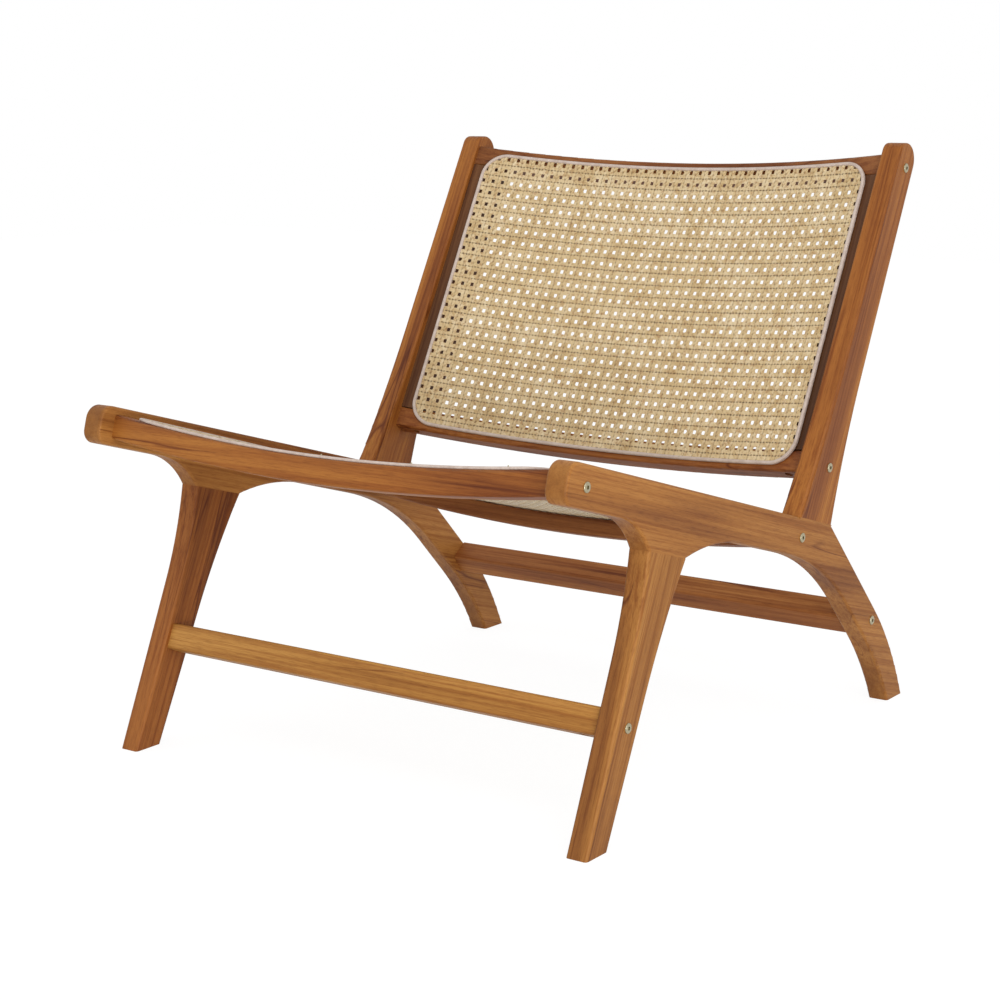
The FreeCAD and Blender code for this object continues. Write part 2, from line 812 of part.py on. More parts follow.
def joint_dowels(label, middle, up):
    """Pair of dowels across a level joint of the rail frame, on both sides of the chair."""
    plank_middle = "(overall_width - plank_thickness) / 2"
    dowels = []
    for side, sign in (("left", "0 - "), ("right", "")):
        for order, step in (("first", "0 - "), ("second", "")):
            along = f"{middle} + ({step}joint_dowel_spacing / 2)"
            frame = framed("rail", along, f"{up} - joint_dowel_length / 2")
            name = f"{label}_{side}_{order}"
            dowels.append(
                bar(name, "joint_dowel_diameter", "joint_dowel_length", frame, sign + plank_middle)
            )
    return dowels


leg_dowels = joint_dowels("leg_dowel", "leg_joint_start + leg_joint_width / 2", "(0 - haunch_depth)")
post_dowels = joint_dowels("post_dowel", "side_rail_length - post_joint_width / 2", "0")


def border_pins(label, frame):
    """Pins through the middle of a border into the two rails under it."""
    first, last = PANELS[frame]
    pins = []
    for row, along in (("first", f"{first} + border_width / 2"), ("last", f"{last} - border_width / 2")):
        for number in range(PINS_PER_RAIL):
            across = f"({number * 2 / (PINS_PER_RAIL - 1) - 1} * ({PANEL_HALF_WIDTH} - pin_margin))"
            tip = f"{bow_height(frame, across, 'border_thickness')} - pin_length"
            name = f"{label}_{row}_{number}"
            pins.append(bar(name, "pin_diameter", "pin_length", framed(frame, along, tip), across))
    return pins


seat_pins = border_pins("seat_pin", "seat")
back_pins = border_pins("back_pin", "back")


STILE_X = f"({INNER_HALF_WIDTH} - stile_width)"
drillings = group(
    "drillings", bores + rail_dowels + leg_dowels + post_dowels + seat_pins + back_pins
)
document.recompute()
blanks = {
    "side_rail_left": side_rail("side_rail_left", OUTER_X),
    "side_rail_right": side_rail("side_rail_right", INNER_HALF_WIDTH),
    "front_leg_left": front_leg("front_leg_left", OUTER_X),
    "front_leg_right": front_leg("front_leg_right", INNER_HALF_WIDTH),
    "back_post_left": back_post("back_post_left", OUTER_X),
    "back_post_right": back_post("back_post_right", INNER_HALF_WIDTH),
    "front_seat_rail": bowed_rail("front_seat_rail", "seat", "0"),
    "rear_seat_rail": bowed_rail("rear_seat_rail", "seat", SEAT_RUN, "rear_rail_height"),
    "lower_back_rail": bowed_rail("lower_back_rail", "back", "0"),
    "top_back_rail": bowed_rail("top_back_rail", "back", BACK_RUN),
    "back_stile_left": back_stile("back_stile_left", INNER_X, f"0 - {STILE_X}", f"0 - {STILE_X}"),
    "back_stile_right": back_stile("back_stile_right", STILE_X, INNER_HALF_WIDTH, STILE_X),
    "front_stretcher": stretcher("front_stretcher", (*FRONT_STRETCHER, FRONT_TURN, LEG_LEAN)),
    "rear_stretcher": stretcher(
        "rear_stretcher", (*REAR_STRETCHER, REAR_TURN, "rear_stretcher_lean")
    ),
}
nodes = [combined("Part::Cut", label, blank, drillings) for label, blank in blanks.items()]

CANE_LIFT = "((border_thickness - cane_thickness) / 2)"
for name, frame, pins in (("seat", "seat", seat_pins), ("back", "back", back_pins)):
    panel = panel_block(f"{name}_panel", frame, "0")
    inside = panel_block(f"{name}_inside", frame, "border_width")
    board = bowed_sheet(f"{name}_board", frame, "0", "border_thickness")
    rounded = combined("Part::Common", f"{name}_rounded", board, panel)
    ring = combined("Part::Cut", f"{name}_ring", rounded, inside)
    nodes.append(combined("Part::Cut", f"{name}_border", ring, drillings))
    cane = bowed_sheet(f"{name}_sheet", frame, CANE_LIFT, "cane_thickness")
    woven = combined("Part::Common", f"{name}_woven", cane, inside)
    columns = slots(f"{name}_columns", frame, CANE_COLUMNS, True)
    rows = slots(f"{name}_rows", frame, CANE_ROWS[frame], False)
    openings = combined("Part::Common", f"{name}_openings", columns, rows)
    nodes.append(combined("Part::Cut", f"{name}_cane", woven, openings))
    nodes.append(group(f"{name}_border_pins", pins))

nodes.append(group("connector_bolts", bolts))
nodes.append(group("barrel_nuts", nuts))
nodes.append(group("rail_dowels", rail_dowels))
nodes.append(group("leg_dowels", leg_dowels))
nodes.append(group("post_dowels", post_dowels))
document.recompute()

for item in document.Objects:
    if "Invalid" in item.State or "Error" in item.State:
        raise RuntimeError(f"{item.Label} did not build: {item.State}")

os.makedirs("parts", exist_ok=True)
for node in nodes:
    if node.Shape.isNull() or not node.Shape.isValid() or not node.Shape.Solids:
        raise RuntimeError(f"{node.Label} has no valid solid")
    solids = Part.makeCompound(node.Shape.Solids)
    solids.exportStep(f"parts/{node.Label}.step")
    print(node.Label, len(solids.Solids), round(solids.Volume))
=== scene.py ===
import math

import bmesh
import bpy
import numpy as np
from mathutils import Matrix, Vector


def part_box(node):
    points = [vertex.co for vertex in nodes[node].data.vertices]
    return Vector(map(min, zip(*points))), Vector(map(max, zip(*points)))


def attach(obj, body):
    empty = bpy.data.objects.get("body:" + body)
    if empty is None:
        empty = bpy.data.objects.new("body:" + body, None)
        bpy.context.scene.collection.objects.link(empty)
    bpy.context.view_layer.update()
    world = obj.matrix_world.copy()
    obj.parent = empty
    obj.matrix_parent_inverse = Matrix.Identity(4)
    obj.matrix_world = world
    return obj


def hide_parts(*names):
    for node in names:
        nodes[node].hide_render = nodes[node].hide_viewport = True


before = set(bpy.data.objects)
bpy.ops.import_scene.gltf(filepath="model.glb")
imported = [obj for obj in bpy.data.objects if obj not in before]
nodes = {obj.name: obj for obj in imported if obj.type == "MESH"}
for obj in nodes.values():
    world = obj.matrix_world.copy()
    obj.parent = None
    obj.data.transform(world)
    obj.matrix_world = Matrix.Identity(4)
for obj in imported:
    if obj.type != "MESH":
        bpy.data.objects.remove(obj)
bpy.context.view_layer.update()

MM = 0.001

# Chair geometry, in metres and radians, as the solids have it.
SEAT_SLOPE = math.radians(15.8)
SEAT_TILT = math.radians(0.68)  # of the seat panel against its side rails
SEAT_ANGLE = SEAT_SLOPE + SEAT_TILT
BACK_LEAN = math.radians(28.0)
LEG_LEAN = math.radians(24.75)
NOSE_HEIGHT = 420.5 * MM
NOSE_ADVANCE = 8.97 * MM
FRONT_RAIL_PLACE = 35.5 * MM
BACK_BOLT_PLACE = 561.0 * MM
BACK_BOLT_RISE = 65.6 * MM
INNER_HALF_WIDTH = 304.0 * MM
SEAT_FIRST = -11.0 * MM
SEAT_LAST = 493.03 * MM
SEAT_END_HEIGHT = -8.8 * MM
SEAT_BOW = 20.0 * MM
BACK_FIRST = -7.0 * MM
BACK_LAST = 392.8 * MM
BACK_END_HEIGHT = 17.0 * MM
BACK_BOW = 38.0 * MM
PANEL_HALF_WIDTH = 288.5 * MM
PANEL_CORNER = 34.0 * MM
BORDER_WIDTH = 4.4 * MM
BORDER_THICKNESS = 5.0 * MM
BORDER_ROUNDING = 1.6 * MM
BORDER_ROUNDING_STEPS = 3
BORDER_CUTS = 40
BORDER_CORNER_STEPS = 12
SEAT_SINK = 0.7 * MM
SMOOTH_ANGLE = math.radians(50)

NOSE_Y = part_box("side_rail_left")[0].y + NOSE_ADVANCE
RAIL_ALONG = np.array((0, math.cos(SEAT_SLOPE), -math.sin(SEAT_SLOPE)))
RAIL_UP = np.array((0, math.sin(SEAT_SLOPE), math.cos(SEAT_SLOPE)))
SEAT_ALONG = np.array((0, math.cos(SEAT_ANGLE), -math.sin(SEAT_ANGLE)))
SEAT_UP = np.array((0, math.sin(SEAT_ANGLE), math.cos(SEAT_ANGLE)))
BACK_ALONG = np.array((0, math.sin(BACK_LEAN), math.cos(BACK_LEAN)))
BACK_UP = np.array((0, -math.cos(BACK_LEAN), math.sin(BACK_LEAN)))
NOSE = np.array((0, NOSE_Y, NOSE_HEIGHT))
FRONT_RAIL = NOSE + RAIL_ALONG * FRONT_RAIL_PLACE
BACK_BOLT = NOSE + RAIL_ALONG * BACK_BOLT_PLACE + RAIL_UP * BACK_BOLT_RISE


def panel(origin, along, up, first, last, end_height, bow):
    """A woven panel: its frame, its length and the round surface that it lies on."""
    radius = (INNER_HALF_WIDTH**2 + bow**2) / (2 * bow)
    return {
        "origin": origin + along * ((first + last) / 2),
        "along": along,
        "up": up,
        "half_length": (last - first) / 2,
        "radius": radius,
        "centre": end_height + radius - bow,
    }


SEAT = panel(
    FRONT_RAIL, SEAT_ALONG, SEAT_UP, SEAT_FIRST, SEAT_LAST, SEAT_END_HEIGHT, SEAT_BOW
)
BACK = panel(
    BACK_BOLT, BACK_ALONG, BACK_UP, BACK_FIRST, BACK_LAST, BACK_END_HEIGHT, BACK_BOW
)


# Materials.
DOTS_IN_CELL = 3


def linear(colour):
    """An sRGB hex colour as linear red, green, blue and full alpha."""
    parts = [int(colour[start:start + 2], 16) / 255 for start in (1, 3, 5)]
    return [c / 12.92 if c <= 0.04045 else ((c + 0.055) / 1.055) ** 2.4 for c in parts] + [1.0]


def add(tree, kind, sockets=None, ramp=None, **settings):
    """Add a node, with its settings, its socket values or links, and its colour stops."""
    made = tree.nodes.new(kind)
    for name, setting in settings.items():
        setattr(made, name, setting)
    for name, source in (sockets or {}).items():
        if isinstance(source, bpy.types.NodeSocket):
            tree.links.new(source, made.inputs[name])
        else:
            made.inputs[name].default_value = source
    for index, (place, colour) in enumerate(ramp or []):
        stops = made.color_ramp.elements
        stop = stops[index] if index < 2 else stops.new(place)
        stop.position = place
        stop.color = linear(colour)
    return made


def new_material(name):
    """An empty material and its node tree."""
    material = bpy.data.materials.new(name)
    material.use_nodes = True
    material.node_tree.nodes.clear()
    return material, material.node_tree


def speckle(tree, place, size, detail):
    """Even noise on the object, from the real size of its grains."""
    return add(
        tree,
        "ShaderNodeTexNoise",
        {"Vector": place.outputs["Object"], "Scale": 1 / size, "Detail": detail, "Roughness": 0.6},
    )


def oiled_wood(name, turn, shift, light, middle, dark):
    """Planed and oiled hardwood: long straight grain that runs along the turned y axis,
    soft streaks a few millimetres wide, some dark veins, fine pores, darker end grain and a
    low satin gloss."""
    material, tree = new_material(name)
    place = add(tree, "ShaderNodeTexCoord")
    lengthwise = add(
        tree,
        "ShaderNodeMapping",
        {"Vector": place.outputs["Object"], "Rotation": turn, "Location": shift},
    )

    def grain(across, along, **noise):
        """Noise drawn out along the grain, from its real width and length."""
        scaled = add(
            tree,
            "ShaderNodeMapping",
            {"Vector": lengthwise.outputs[0], "Scale": (1 / across, 1 / along, 1 / across)},
        )
        return add(
            tree, "ShaderNodeTexNoise", {"Vector": scaled.outputs[0], "Scale": 1.0, **noise}
        )

    drift = grain(
        across=30 * MM, along=480 * MM, Detail=2.0, Roughness=0.5, Distortion=0.3
    )
    rings = grain(
        across=4 * MM, along=340 * MM, Detail=4.0, Roughness=0.65, Distortion=0.2
    )
    veins = grain(
        across=30 * MM, along=620 * MM, Detail=1.5, Roughness=0.4, Distortion=0.5
    )
    patches = grain(across=45 * MM, along=260 * MM, Detail=1.0)
    # the pores are drawn larger than life, so that they show
    pores = grain(across=0.9 * MM, along=16 * MM, Detail=2.0, Roughness=0.6)
    tone = add(
        tree,
        "ShaderNodeValToRGB",
        {"Fac": drift.outputs[0]},
        ramp=[(0.32, dark), (0.68, light), (0.5, middle)],
    )

    def shaded(base, share, stops=None, pattern=None, shade=None):
        """The colour darkened by a pattern with colour stops, or by one colour."""
        if pattern:
            levels = add(
                tree, "ShaderNodeValToRGB", {"Fac": pattern.outputs[0]}, ramp=stops
            )
            shade = levels.outputs[0]
        return add(
            tree,
            "ShaderNodeMix",
            {0: share, 6: base, 7: shade},
            data_type="RGBA",
            blend_type="MULTIPLY",
        ).outputs[2]

    # a dark vein runs where a slow noise passes its middle value, in some patches only
    offset = add(tree, "ShaderNodeMath", {0: veins.outputs[0], 1: 0.5}, operation="SUBTRACT")
    distance = add(tree, "ShaderNodeMath", {0: offset.outputs[0]}, operation="ABSOLUTE")
    vein = add(
        tree,
        "ShaderNodeMapRange",
        {"Value": distance.outputs[0], "From Max": 0.016, "To Min": 0.85, "To Max": 0.0},
    )
    patch = add(
        tree,
        "ShaderNodeMapRange",
        {"Value": patches.outputs[0], "From Min": 0.46, "From Max": 0.6},
    )
    veined = add(
        tree, "ShaderNodeMath", {0: vein.outputs[0], 1: patch.outputs[0]}, operation="MULTIPLY"
    )
    # no streaks where the grain ends in the face
    facing = add(
        tree,
        "ShaderNodeMapping",
        {"Vector": place.outputs["Normal"], "Rotation": turn},
        vector_type="NORMAL",
    )
    parts = add(tree, "ShaderNodeSeparateXYZ", {"Vector": facing.outputs[0]})
    lengthways = add(tree, "ShaderNodeMath", {0: parts.outputs[1]}, operation="ABSOLUTE")
    side_grain = add(
        tree,
        "ShaderNodeMapRange",
        {
            "Value": lengthways.outputs[0],
            "From Min": 0.5,
            "From Max": 0.8,
            "To Min": 1.0,
            "To Max": 0.0,
        },
    )
    veined = add(
        tree,
        "ShaderNodeMath",
        {0: veined.outputs[0], 1: side_grain.outputs[0]},
        operation="MULTIPLY",
    )
    ringed = add(
        tree,
        "ShaderNodeMapRange",
        {"Value": side_grain.outputs[0], "To Min": 0.2, "To Max": 0.55},
    )
    colour = shaded(
        tone.outputs[0], ringed.outputs[0], [(0.37, "#B4865F"), (0.56, "#FFFFFF")], rings
    )
    colour = shaded(colour, veined.outputs[0], shade=linear("#9A6A46"))
    colour = shaded(colour, 0.3, [(0.36, "#A08067"), (0.5, "#FFFFFF")], pores)
    # end grain soaks up more oil and is darker
    soaked = add(
        tree, "ShaderNodeMath", {0: 1.0, 1: side_grain.outputs[0]}, operation="SUBTRACT"
    )
    colour = shaded(colour, soaked.outputs[0], shade=linear("#E6E3E0"))
    gloss = add(
        tree, "ShaderNodeMapRange", {"Value": rings.outputs[0], "To Min": 0.6, "To Max": 0.46}
    )
    bump = add(
        tree,
        "ShaderNodeBump",
        {"Height": pores.outputs[0], "Strength": 0.2, "Distance": 0.15 * MM},
    )
    skin = add(
        tree,
        "ShaderNodeBsdfPrincipled",
        {
            "Base Color": colour,
            "Roughness": gloss.outputs[0],
            "Normal": bump.outputs[0],
            "IOR": 1.5,
            "Specular IOR Level": 0.2,
        },
    )
    add(tree, "ShaderNodeOutputMaterial", {"Surface": skin.outputs[0]})
    return material


def cane_skin():
    """Split rattan cane: a pale straw skin with a soft gloss, each strand its own tone,
    fine specks, now and then a browner patch, and shade between the strands."""
    material, tree = new_material("split_cane")
    place = add(tree, "ShaderNodeTexCoord")
    strand = add(tree, "ShaderNodeAttribute", attribute_name="strand_tone")
    specks = speckle(tree, place, size=3.846 * MM, detail=3.0)
    patches = speckle(tree, place, size=27.78 * MM, detail=3.0)
    mixed = add(
        tree, "ShaderNodeMath", {0: strand.outputs["Fac"], 1: patches.outputs[0]}, operation="ADD"
    )
    tone = add(
        tree,
        "ShaderNodeValToRGB",
        {"Fac": mixed.outputs[0]},
        ramp=[(0.3, "#B99B69"), (0.95, "#DCC8A2"), (0.6, "#CDB486")],
    )
    freckles = add(
        tree,
        "ShaderNodeValToRGB",
        {"Fac": specks.outputs[0]},
        ramp=[(0.33, "#C9A98A"), (0.5, "#FFFFFF")],
    )
    colour = add(
        tree,
        "ShaderNodeMix",
        {0: 0.7, 6: tone.outputs[0], 7: freckles.outputs[0]},
        data_type="RGBA",
        blend_type="MULTIPLY",
    )
    # paler undersides: the inner side of split cane is pith, paler than the skin, and painted light
    # from below lightens it further, so only sides that face down, under the seat, get it
    parts = add(tree, "ShaderNodeSeparateXYZ", {"Vector": place.outputs["Normal"]})
    pith_and_painted_light = add(
        tree,
        "ShaderNodeMapRange",
        {"Value": parts.outputs[2], "From Min": -0.6, "From Max": -0.85, "To Max": 0.9},
    )
    colour = add(
        tree,
        "ShaderNodeMix",
        {0: pith_and_painted_light.outputs[0], 6: colour.outputs[2], 7: linear("#F4E4C4")},
        data_type="RGBA",
    )
    # painted shade along the strands' edges, darkest between the two strands of a pair
    crevice_shade = add(tree, "ShaderNodeAttribute", attribute_name="crevice_shade")
    painted_shade = add(
        tree,
        "ShaderNodeMapRange",
        {"Value": crevice_shade.outputs["Fac"], "From Min": 0.6, "From Max": 1.0, "To Max": 0.5},
    ).outputs[0]
    places = [
        add(tree, "ShaderNodeAttribute", attribute_name=name).outputs["Fac"]
        for name in ("cell_across", "cell_along")
    ]

    def calculated(operation, *numbers):
        """The result of one calculation with numbers or sockets."""
        return add(
            tree, "ShaderNodeMath", dict(enumerate(numbers)), operation=operation
        ).outputs[0]

    # painted shade where three strands cross and leave small gaps: rows of dark dots along each
    # pair
    for along, across, strength in ((places[0], places[1], 0.95), (places[1], places[0], 0.6)):
        nearest = calculated("ABSOLUTE", calculated("WRAP", across, 0.5, -0.5))
        line = add(
            tree,
            "ShaderNodeMapRange",
            {
                "Value": nearest,
                "From Min": 0.02,
                "From Max": 0.075,
                "To Min": strength,
                "To Max": 0.0,
            },
        ).outputs[0]
        turns = calculated("MULTIPLY", along, 2 * math.pi * DOTS_IN_CELL)
        dots = add(
            tree,
            "ShaderNodeMapRange",
            {
                "Value": calculated("COSINE", turns),
                "From Min": -0.5,
                "From Max": 0.6,
                "To Min": 0.25,
            },
        ).outputs[0]
        painted_shade = calculated("MAXIMUM", painted_shade, calculated("MULTIPLY", line, dots))
    # the painted shade darkens the cane towards a dark brown
    colour = add(
        tree,
        "ShaderNodeMix",
        {0: painted_shade, 6: colour.outputs[2], 7: linear("#57401F")},
        data_type="RGBA",
    )
    bump = add(
        tree,
        "ShaderNodeBump",
        {"Height": specks.outputs[0], "Strength": 0.2, "Distance": 0.1 * MM},
    )
    gloss = add(
        tree, "ShaderNodeMapRange", {"Value": patches.outputs[0], "To Min": 0.42, "To Max": 0.6}
    )
    skin = add(
        tree,
        "ShaderNodeBsdfPrincipled",
        {
            "Base Color": colour.outputs[2],
            "Roughness": gloss.outputs[0],
            "Normal": bump.outputs[0],
            "IOR": 1.5,
        },
    )
    add(tree, "ShaderNodeOutputMaterial", {"Surface": skin.outputs[0]})
    return material


def border_reed():
    """Bleached reed strip: matte, pale pinkish beige, with a faint mottle."""
    material, tree = new_material("bleached_reed")
    place = add(tree, "ShaderNodeTexCoord")
    specks = speckle(tree, place, size=8.333 * MM, detail=4.0)
    tone = add(
        tree,
        "ShaderNodeValToRGB",
        {"Fac": specks.outputs[0]},
        ramp=[(0.3, "#B7A498"), (0.7, "#CDBDB2")],
    )
    bump = add(
        tree,
        "ShaderNodeBump",
        {"Height": specks.outputs[0], "Strength": 0.2, "Distance": 0.15 * MM},
    )
    skin = add(
        tree,
        "ShaderNodeBsdfPrincipled",
        {"Base Color": tone.outputs[0], "Roughness": 0.6, "Normal": bump.outputs[0], "IOR": 1.5},
    )
    add(tree, "ShaderNodeOutputMaterial", {"Surface": skin.outputs[0]})
    return material


def plated_steel():
    """Nickel-plated steel: a warm grey metal with fine wear in its gloss."""
    material, tree = new_material("nickel_plated_steel")
    place = add(tree, "ShaderNodeTexCoord")
    wear = speckle(tree, place, size=1.111 * MM, detail=3.0)
    tone = add(
        tree,
        "ShaderNodeValToRGB",
        {"Fac": wear.outputs[0]},
        ramp=[(0.3, "#968D72"), (0.7, "#BBB295")],
    )
    gloss = add(
        tree, "ShaderNodeMapRange", {"Value": wear.outputs[0], "To Min": 0.24, "To Max": 0.42}
    )
    skin = add(
        tree,
        "ShaderNodeBsdfPrincipled",
        {"Base Color": tone.outputs[0], "Roughness": gloss.outputs[0], "Metallic": 1.0},
    )
    add(tree, "ShaderNodeOutputMaterial", {"Surface": skin.outputs[0]})
    return material


# Modelling helpers.
WELD = 0.01 * MM


def start():
    """Leave edit mode and deselect everything."""
    if bpy.context.object and bpy.context.object.mode != "OBJECT":
        bpy.ops.object.mode_set(mode="OBJECT")
    bpy.ops.object.select_all(action="DESELECT")


def pick(piece, wanted, kind="VERT"):
    """Select the vertices or faces of a piece in edit mode that a test picks by place or normal."""
    bpy.ops.mesh.select_mode(type=kind)
    bpy.ops.mesh.select_all(action="DESELECT")
    shape = bmesh.from_edit_mesh(piece.data)
    for item in shape.verts if kind == "VERT" else shape.faces:
        item.select_set(wanted(item))
    shape.select_flush_mode()
    bmesh.update_edit_mesh(piece.data)


def slice_at(point, normal, **cleared):
    """Cut the whole piece in edit mode with a plane, and clear or fill as told."""
    bpy.ops.mesh.select_all(action="SELECT")
    bpy.ops.mesh.bisect(plane_co=point, plane_no=normal, **cleared)


def repeat(piece, step, count, weld):
    """Apply an array of copies a step apart."""
    copies = piece.modifiers.new("copies", "ARRAY")
    copies.use_relative_offset = False
    copies.use_constant_offset = True
    copies.constant_offset_displace = step
    copies.count = count
    copies.use_merge_vertices = weld
    copies.merge_threshold = WELD
    bpy.ops.object.modifier_apply(modifier=copies.name)


def settle():
    """Apply the place, turn and scale of the active piece."""
    bpy.ops.object.transform_apply(location=True, rotation=True, scale=True)


def places_of(piece):
    """The x, y and z of every vertex."""
    flat = np.zeros(len(piece.data.vertices) * 3)
    piece.data.vertices.foreach_get("co", flat)
    return flat.reshape(-1, 3).T


def store(piece, name, numbers):
    """Keep a number for every vertex, for the material to read."""
    kept = piece.data.attributes.new(name, "FLOAT", "POINT")
    kept.data.foreach_set("value", numbers.astype(np.float32))


def onto_panel(piece, sheet):
    """Carry a piece from the flat, where z is its height in the panel, to the round surface."""
    across, along, height = places_of(piece)
    middle = sheet["radius"] - BORDER_THICKNESS / 2
    angle = np.arcsin(across / middle)
    reach = middle - height
    rise = sheet["centre"] - reach * np.cos(angle)
    placed = sheet["origin"] + np.outer(along, sheet["along"]) + np.outer(rise, sheet["up"])
    placed[:, 0] = reach * np.sin(angle)
    piece.data.vertices.foreach_set("co", placed.ravel())
    piece.data.update()


def paint(piece, material):
    """Give a piece one material in place of any that it has."""
    piece.data.materials.clear()
    piece.data.materials.append(material)


def dress(piece, material, node):
    """Give a finished piece its material and its place in the chair."""
    paint(piece, material)
    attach(piece, "root")
    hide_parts(node)


# Six-way cane: pairs of strands across and up the panel, and single strands on both slants.
CELL_ACROSS = 13.78 * MM
CELL_ALONG = 16.95 * MM
STRAND_THICKNESS = 0.7 * MM
STRAND_CROWN = 0.25 * MM
UP_WIDTH = 4.6 * MM
UP_SPACING = 4.6 * MM
ACROSS_WIDTH = 5.9 * MM
ACROSS_SPACING = 5.9 * MM
SLANT_WIDTH = 4.6 * MM
CROSSING_RISE = 0.5 * MM
CROSSING_CLEAR = 2.4 * MM
SLANT_RISE = 0.95 * MM
SLANT_STEPS = 6
UNDER_BORDER = 2.2 * MM
CORNER_TRIM = 1.0 * MM
COLUMN_SHIFT = 0.3 * MM
TOP_PAIR_PLACE = 393.55 * MM
# Shade on a strand's edges: between the two of a pair, beside a hole, and on the slants.
UP_SHADE = 0.92
ACROSS_SHADE = 1.0
OUTER_SHADE = 0.66
SLANT_SHADE = 0.72
# Scatter of the strands' tones, and their wander sideways in a long and a short wave.
TONE_SPREAD = 0.34
SCATTER_STEP = 12.9898
SCATTER_START = 4.1
SCATTER_SCALE = 43758.5453
FIRST_ACROSS_NUMBER = 300
FIRST_SLANT_NUMBER = 700.5
WANDER = 0.3 * MM
LONG_WAVE = 2.3
LONG_WAVE_SHIFT = 2.4
SHORT_WAVE = 0.9
SHORT_WAVE_SHIFT = 5.1


def strand(length, width, waves, left_shade, right_shade):
    """One repeat of a strand along y: a flat strip with a rounded back that rises and dips,
    and the shade that its neighbours cast on its two edges."""
    start()
    bpy.ops.mesh.primitive_cube_add(size=1)
    piece = bpy.context.object
    piece.scale = (width, length, STRAND_THICKNESS)
    settle()
    bpy.ops.object.mode_set(mode="EDIT")
    pick(piece, lambda f: abs(f.normal.y) > 0.5, "FACE")
    bpy.ops.mesh.delete(type="FACE")
    slice_at((0, 0, 0), (1, 0, 0))
    pick(piece, lambda v: abs(v.co.x) < width / 4 and v.co.z < 0)
    bpy.ops.mesh.dissolve_edges()
    pick(piece, lambda v: abs(v.co.x) < width / 4 and v.co.z > 0)
    bpy.ops.transform.translate(value=(0, 0, STRAND_CROWN))
    for place, _ in waves[1:]:
        slice_at((0, place, 0), (0, 1, 0))
    for place, rise in waves + [(length / 2, waves[0][1])]:
        pick(piece, lambda v: abs(v.co.y - place) < STRAND_THICKNESS / 4)
        bpy.ops.transform.translate(value=(0, 0, rise))
    bpy.ops.object.mode_set(mode="OBJECT")
    across = places_of(piece)[0]
    shade = np.where(across < 0, left_shade, right_shade) * np.abs(across) / (width / 2)
    store(piece, "crevice_shade", shade)
    return piece


def paired_waves(cell, spacing, side):
    """Places and rises along a strand that crosses a pair: over one and under the other."""
    clear = spacing / 2 + CROSSING_CLEAR
    return [
        (-cell / 2, 0.0),
        (-clear, 0.0),
        (-spacing / 2, side * CROSSING_RISE),
        (0.0, 0.0),
        (spacing / 2, -side * CROSSING_RISE),
        (clear, 0.0),
    ]


def edges(inner_side, inner_shade):
    """Shade on the left and right edges of a strand of a pair, deepest between the two."""
    return (inner_shade, OUTER_SHADE) if inner_side < 0 else (OUTER_SHADE, inner_shade)


def slanted_waves(length, side):
    """Places and rises along a slanted strand: over the pairs one way, under those the other."""
    shares = [step / SLANT_STEPS - 0.5 for step in range(SLANT_STEPS)]
    return [
        (length * share, side * SLANT_RISE * math.cos(2 * math.pi * share)) for share in shares
    ]


def layer(name, sheet, piece, length, turn, first, run_count, step, count):
    """Lay one repeat of a strand end to end and side by side over a panel, and trim the
    strands under its border."""
    piece.name = name
    repeat(piece, (0, length, 0), run_count, True)
    piece.rotation_euler.z = turn
    piece.location = (*first, 0)
    settle()
    repeat(piece, (*step, 0), count, False)
    half_width = PANEL_HALF_WIDTH - UNDER_BORDER
    half_length = sheet["half_length"] - UNDER_BORDER
    corner = PANEL_CORNER - UNDER_BORDER
    reach = (corner - CORNER_TRIM) / math.sqrt(2)
    corner_across = half_width - corner + reach
    corner_along = half_length - corner + reach
    cuts = []
    for sign in (-1, 1):
        cuts.append(((sign * half_width, 0, 0), (sign, 0, 0)))
        cuts.append(((0, sign * half_length, 0), (0, sign, 0)))
        for other in (-1, 1):
            cuts.append(((sign * corner_across, other * corner_along, 0), (sign, other, 0)))
    bpy.ops.object.mode_set(mode="EDIT")
    for point, normal in cuts:
        slice_at(point, normal, clear_outer=True, use_fill=True)
    bpy.ops.object.mode_set(mode="OBJECT")
    return piece


def vary(piece, number_of, sideways, low):
    """Give each strand its own tone and let it wander a little to its sides, and store
    where in the weave every vertex is, counted in cells."""
    across, along, height = places_of(piece)
    number = np.round(number_of(across, along))
    scattered = np.sin(number * SCATTER_STEP + SCATTER_START) * SCATTER_SCALE
    store(piece, "strand_tone", (scattered - np.floor(scattered)) * TONE_SPREAD)
    store(piece, "cell_across", (across - COLUMN_SHIFT) / CELL_ACROSS)
    store(piece, "cell_along", (along - low) / CELL_ALONG)
    run = (across + along) / CELL_ALONG
    long_wave = np.sin(run / LONG_WAVE + number * LONG_WAVE_SHIFT)
    short_wave = np.sin(run / SHORT_WAVE + number * SHORT_WAVE_SHIFT)
    drift = WANDER * (long_wave + short_wave)
    moved = np.column_stack((across + drift * sideways[0], along + drift * sideways[1], height))
    piece.data.vertices.foreach_set("co", moved.ravel())


def join(name, pieces):
    """Join layers into one piece."""
    start()
    for piece in pieces:
        piece.select_set(True)
    bpy.context.view_layer.objects.active = pieces[0]
    bpy.ops.object.join()
    joined = bpy.context.object
    joined.name = name
    bpy.ops.object.shade_smooth_by_angle(angle=SMOOTH_ANGLE)
    return joined


def whole_pairs(first, step, count, band, limit):
    """The first place and the number of the pairs that the border doesn't cut lengthwise."""
    places = [first + index * step for index in range(count)]
    kept = [place for place in places if abs(place) + band / 2 < limit - UNDER_BORDER]
    return kept[0], len(kept)


